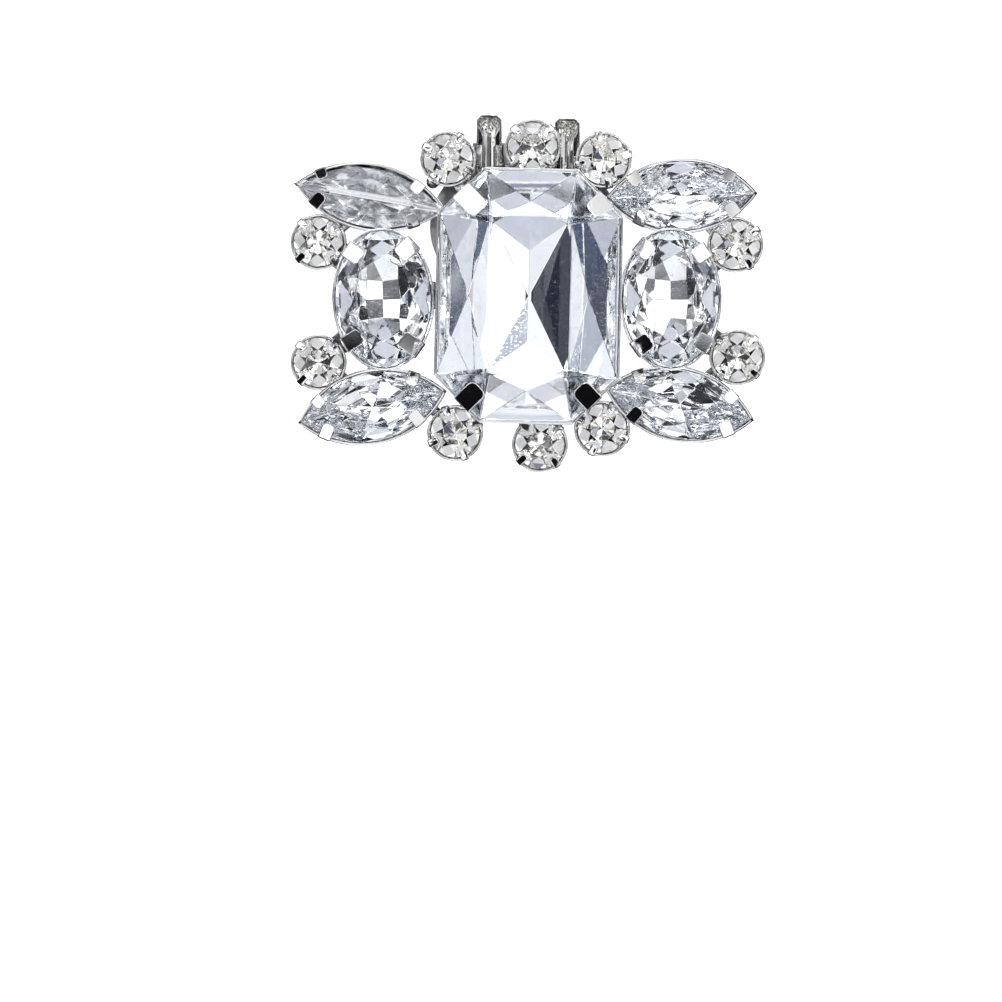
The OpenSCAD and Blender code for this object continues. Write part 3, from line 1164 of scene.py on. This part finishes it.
@dataclass
class ShoeClip:
    """The folded clip: its CAD solid, with softened edges."""

    finish: ClipMetal
    node: str = "shoe_clip"
    weld: float = 0.001
    edge_round: float = 0.12
    segments: int = 3
    sharp_angle: float = 40.0

    def build(self) -> None:
        """Dresses the clip."""
        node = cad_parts[self.node]
        Bench.modify(node, "WELD", keep=True, merge_threshold=self.weld * MM)
        Bench.soften(node, self.edge_round, self.sharp_angle, self.segments, keep=True)
        Bench.dress(node, self.finish.material(), self.sharp_angle)
        LOG.info("%s: dressed", node.name)


# Studio


@dataclass(frozen=True)
class Card:
    """A soft card in the studio: where it hangs as seen from the clip, its reach and its shade.

    The angles are in degrees: azimuth from +X towards +Y, and elevation above the floor.
    """

    azimuth: float
    elevation: float
    reach: float
    edge: float
    colour: Colour

    def mask(self, shader: Shader, way: Value) -> Value:
        """How much of the card a direction meets.

        Args:
            shader: the world's tree.
            way: the direction.

        Returns:
            The share, from 0 to 1.
        """
        flat = math.cos(math.radians(self.elevation))
        aim = (
            flat * math.cos(math.radians(self.azimuth)),
            flat * math.sin(math.radians(self.azimuth)),
            math.sin(math.radians(self.elevation)),
        )
        near = shader.node(
            "ShaderNodeVectorMath", {"operation": "DOT_PRODUCT"}, {0: way, 1: aim}, output="Value"
        )
        outer = math.cos(math.radians(self.reach + self.edge))
        inner = math.cos(math.radians(max(self.reach - self.edge, 0.0)))
        return near.step(outer, inner)


@dataclass
class Studio:
    """Floor, light and camera. The cards hang in order: a later one covers an earlier one."""

    floor: PaleFloor
    floor_half: float = 0.6
    frame_px: float = 1002.0
    px_per_mm: float = 10.0
    octagon_px: tuple[float, float] = (528.6, 295.9)
    camera_distance: float = 1.2
    focus_z: float = 9.5
    sensor: float = 36.0
    exposure: float = -0.1
    tones: tuple[tuple[float, Colour], ...] = (
        (0.4, (0.01, 0.01, 0.014)),
        (0.45, (0.2, 0.205, 0.22)),
        (0.49, (0.72, 0.73, 0.75)),
        (0.52, (1.5, 1.5, 1.5)),
    )
    below: Colour = (0.05, 0.05, 0.055)
    horizon: tuple[float, float] = (-0.05, 0.03)
    room_scale: float = 6.5
    room_detail: float = 1.0
    floor_cuts: int = 4
    bounces: int = 24
    mirror_bounces: int = 16
    cards: tuple[Card, ...] = (
        *(
            Card(turn, 80.0, 3.4, 0.5, DARKEST)
            for turn in (12.0, 57.0, 122.0, 170.0, 206.0, 240.0, 302.0, 338.0)
        ),
        *(
            Card(turn, 73.0, 3.4, 0.5, DARKEST)
            for turn in (0.0, 48.0, 128.0, 180.0, 226.0, 248.0, 318.0)
        ),
        Card(0.0, -26.0, 14.0, 6.0, WHITE),
        Card(90.0, -26.0, 18.0, 6.0, (0.85, 0.88, 0.96)),
        Card(180.0, -26.0, 14.0, 6.0, (0.24, 0.26, 0.33)),
        Card(270.0, -26.0, 18.0, 6.0, (0.26, 0.28, 0.36)),
        Card(90.0, 5.0, 8.0, 3.0, (0.28, 0.3, 0.4)),
        Card(270.0, 6.0, 8.0, 3.0, (0.85, 0.9, 1.0)),
        Card(0.0, 90.0, 4.5, 2.0, (0.68, 0.7, 0.75)),
        Card(90.0, 75.0, 4.0, 2.0, (0.95, 0.97, 1.0)),
        Card(270.0, 75.0, 4.0, 2.0, (0.55, 0.57, 0.62)),
        Card(201.0, 69.0, 3.5, 1.5, (0.8, 0.82, 0.86)),
        Card(157.0, 69.0, 3.5, 1.5, (0.85, 0.87, 0.92)),
        Card(90.0, 34.0, 18.0, 5.0, (1.12, 1.12, 1.14)),
        Card(0.0, 20.0, 18.0, 4.0, (1.12, 1.12, 1.14)),
        Card(180.0, 8.0, 8.0, 3.0, (1.0, 1.02, 1.05)),
        Card(181.0, 29.0, 12.0, 2.5, (0.006, 0.01, 0.03)),
        Card(270.0, 25.0, 8.0, 3.0, (1.08, 1.08, 1.1)),
        Card(270.0, 41.0, 7.0, 3.0, (0.6, 0.63, 0.7)),
        Card(220.0, 24.0, 16.0, 4.0, DARK),
        Card(314.0, 24.0, 14.0, 4.0, DARK),
        Card(225.0, 43.0, 9.0, 3.0, DARK),
        Card(315.0, 43.0, 9.0, 3.0, DARK),
        Card(135.0, 43.0, 11.0, 4.0, (1.25, 1.25, 1.25)),
        Card(45.0, 43.0, 9.0, 4.0, (0.72, 0.72, 0.72)),
        Card(28.0, 62.0, 9.0, 3.0, (0.5, 0.53, 0.6)),
        Card(144.0, 60.0, 9.0, 3.0, (0.98, 1.0, 1.02)),
        Card(321.0, 62.0, 5.0, 2.0, (1.1, 1.1, 1.12)),
        Card(337.0, 69.0, 6.0, 2.0, (0.08, 0.1, 0.16)),
        Card(0.0, 59.0, 7.0, 2.0, (0.1, 0.11, 0.15)),
        Card(328.0, 54.0, 4.5, 1.5, (0.1, 0.13, 0.2)),
        Card(216.0, 62.0, 5.0, 2.0, (0.85, 0.87, 0.9)),
        Card(208.0, 54.0, 4.5, 1.5, (0.16, 0.19, 0.25)),
        Card(180.0, 59.0, 2.0, 0.7, (0.08, 0.1, 0.15)),
        Card(135.0, 6.0, 13.0, 4.0, (1.2, 1.2, 1.2)),
        Card(45.0, 6.0, 13.0, 4.0, (1.1, 1.1, 1.1)),
        Card(225.0, 6.0, 12.0, 4.0, (0.01, 0.01, 0.012)),
        Card(315.0, 5.0, 9.0, 4.0, (0.85, 0.85, 0.87)),
    )

    def build(self) -> None:
        """Sets up the floor, the light and the camera."""
        self._build_floor()
        self._build_world()
        self._build_lights()
        self._build_camera()
        scene = bpy.context.scene
        scene.view_settings.view_transform = "Standard"
        scene.view_settings.look = "Medium High Contrast"
        scene.view_settings.exposure = self.exposure
        scene.cycles.max_bounces = self.bounces
        scene.cycles.glossy_bounces = self.mirror_bounces
        scene.cycles.transmission_bounces = self.mirror_bounces

    def _build_floor(self) -> None:
        """Lays the floor under the clip."""
        made = Bench.start(bpy.ops.mesh.primitive_plane_add, "floor", size=2.0 * self.floor_half)
        bpy.ops.mesh.subdivide(number_cuts=self.floor_cuts)
        Bench.clear()
        Bench.dress(made, self.floor.material(), None)
        made.visible_glossy = False
        made.visible_transmission = False

    def _build_world(self) -> None:
        """Makes a bright room full of soft pale and dark cards, for the facets and the metal to show."""
        world = bpy.data.worlds.new("studio")
        bpy.context.scene.world = world
        world.use_nodes = True
        s = Shader(world.node_tree)
        way = s.node("ShaderNodeTexCoord", output="Generated")
        cloud = s.node(
            "ShaderNodeTexNoise",
            inputs={"Vector": way, "Scale": self.room_scale, "Detail": self.room_detail},
        )
        room = s.node(
            "ShaderNodeValToRGB",
            {"stops": [(place, (*colour, 1.0)) for place, colour in self.tones]},
            {0: cloud},
        )
        height = s.node("ShaderNodeSeparateXYZ", inputs={0: way}, output=2)
        room = s.mix(height.step(*self.horizon), self.below, room)
        for card in self.cards:
            room = s.mix(card.mask(s, way), room, card.colour)
        light = s.node("ShaderNodeBackground", inputs={"Color": room})
        plain = s.node("ShaderNodeBackground", inputs={"Color": WHITE})
        seen = s.node("ShaderNodeLightPath", output="Is Camera Ray")
        both = s.node("ShaderNodeMixShader", inputs={0: seen, 1: light, 2: plain})
        s.node("ShaderNodeOutputWorld", inputs={"Surface": both})

    def _hang_light(self, name: str, place: Triple, size: float, watts: float, mirrored: bool) -> None:
        """Hangs a soft square light that points at the clip.

        Args:
            name: its name.
            place: where it hangs, in metres.
            size: its side, in metres.
            watts: its power.
            mirrored: whether polished surfaces show it.
        """
        light = bpy.data.lights.new(name, "AREA")
        light.shape = "SQUARE"
        light.size = size
        light.energy = watts
        lamp = bpy.data.objects.new(name, light)
        bpy.context.scene.collection.objects.link(lamp)
        lamp.location = place
        lamp.rotation_euler = (-lamp.location).to_track_quat("-Z", "Y").to_euler()
        lamp.visible_glossy = mirrored
        lamp.visible_transmission = mirrored

    def _build_lights(self) -> None:
        """Hangs a key light to the back right and a wide light overhead for the floor."""
        self._hang_light("key", place=(0.45, 0.55, 0.95), size=0.35, watts=3.0, mirrored=True)
        self._hang_light("overhead", place=(0.0, -0.02, 1.35), size=1.6, watts=60.0, mirrored=False)

    def _build_camera(self) -> None:
        """Looks straight down, with the octagon stone where the photograph has it."""
        lens = bpy.data.cameras.new("camera")
        camera = bpy.data.objects.new("camera", lens)
        bpy.context.scene.collection.objects.link(camera)
        half = self.frame_px / 2.0
        camera.location = (
            (half - self.octagon_px[0]) / self.px_per_mm * MM,
            (self.octagon_px[1] - half) / self.px_per_mm * MM,
            self.camera_distance,
        )
        lens.sensor_width = self.sensor
        width = self.frame_px / self.px_per_mm * MM
        lens.lens = self.sensor * (self.camera_distance - self.focus_z * MM) / width
        bpy.context.scene.camera = camera


def main() -> None:
    """Builds every sub-assembly in order."""
    logging.basicConfig(level=logging.INFO, format="%(message)s")
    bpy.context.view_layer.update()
    CutStones(
        acrylic=ClearStone(
            "clear_acrylic", tint=(0.993, 0.996, 1.0), worn_tint=(0.95, 0.955, 0.965), ior=1.49,
            wave_mm=7.0, wave_depth_mm=0.006, scratch_depth_mm=0.002,
        ),
        glass=ClearStone(
            "clear_glass", tint=(1.0, 0.998, 0.993), worn_tint=(0.96, 0.955, 0.945), ior=1.52,
            wave_mm=1.5, wave_depth_mm=0.003, scratch_depth_mm=0.001,
        ),
        foil=MirrorFoil(
            "mirror_foil", bright=(0.95, 0.957, 0.97), cloudy=(0.84, 0.86, 0.89),
            ripple_mm=6.0, ripple_depth_mm=0.02, grain_depth_mm=0.0004,
        ),
        spark_foil=MirrorFoil(
            "warm_mirror_foil", bright=(0.96, 0.956, 0.945), cloudy=(0.82, 0.81, 0.785),
            ripple_mm=2.0, ripple_depth_mm=0.002, grain_depth_mm=0.0001,
        ),
    ).build()
    SettingFrame(PlatedMetal(
        # dark is both the painted shade low between the cups and the colour of the tarnish spots.
        "silver_plate", bright=(0.93, 0.93, 0.93), dark=(0.09, 0.085, 0.08),
        low_mm=4.6, high_mm=7.2, dull=0.04, pit_depth_mm=0.003,
    )).build()
    ShoeClip(ClipMetal("clip_metal", pale=(0.62, 0.62, 0.63), dark=(0.2, 0.2, 0.21))).build()
    Studio(PaleFloor("pale_floor", white=(0.93, 0.93, 0.93), shade=(0.9, 0.9, 0.905), glow=0.75)).build()


if __name__ == "__main__":
    main()
